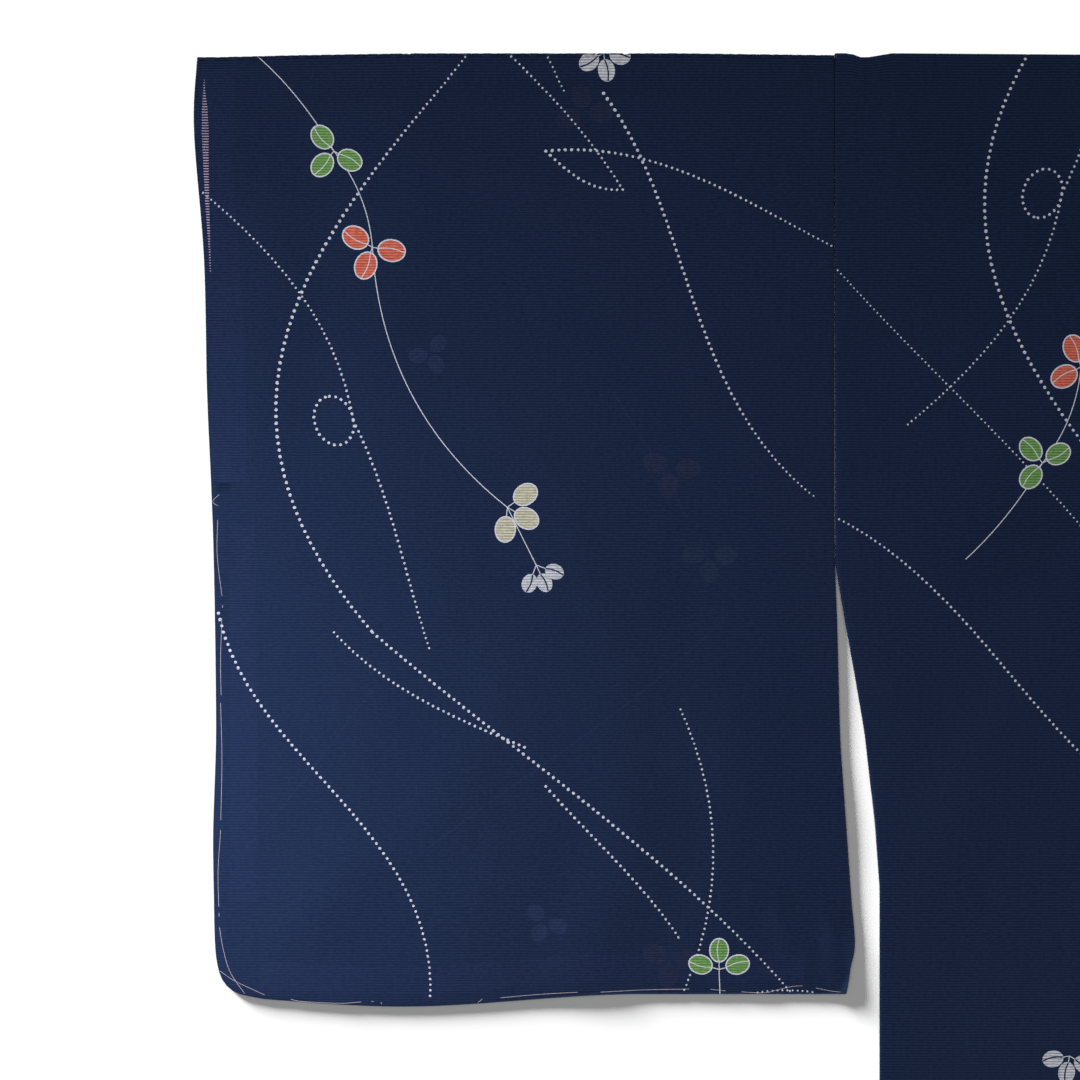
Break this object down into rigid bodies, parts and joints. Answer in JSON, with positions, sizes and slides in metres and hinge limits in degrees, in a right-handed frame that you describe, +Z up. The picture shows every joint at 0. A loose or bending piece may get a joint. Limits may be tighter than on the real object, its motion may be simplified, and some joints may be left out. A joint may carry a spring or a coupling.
{
  "type": "komon kimono",
  "caption": "Woman's unlined summer kimono laid flat, left front over right, with square sleeves, overlap panels and a long wrapped collar.",
  "frame": {"origin": "middle of the footprint, on the floor", "axes": "+X towards the wearer's left sleeve, +Y from the hem to the shoulders, +Z up from the floor through the front"},
  "size_m": [1.3056, 1.6542, 0.0094],
  "materials": {
    "cloth": "fine ribbed weave, printed",
    "collar_cloth": "fine ribbed weave, printed"
  },
  "bodies": {
    "root": {"body_right": "cloth", "body_left": "cloth", "sleeve_right": "cloth", "sleeve_left": "cloth", "overlap_right": "cloth", "overlap_left": "cloth", "collar_right": "collar_cloth", "collar_left": "collar_cloth", "collar_cover": "collar_cloth"}
  },
  "joints": []
}
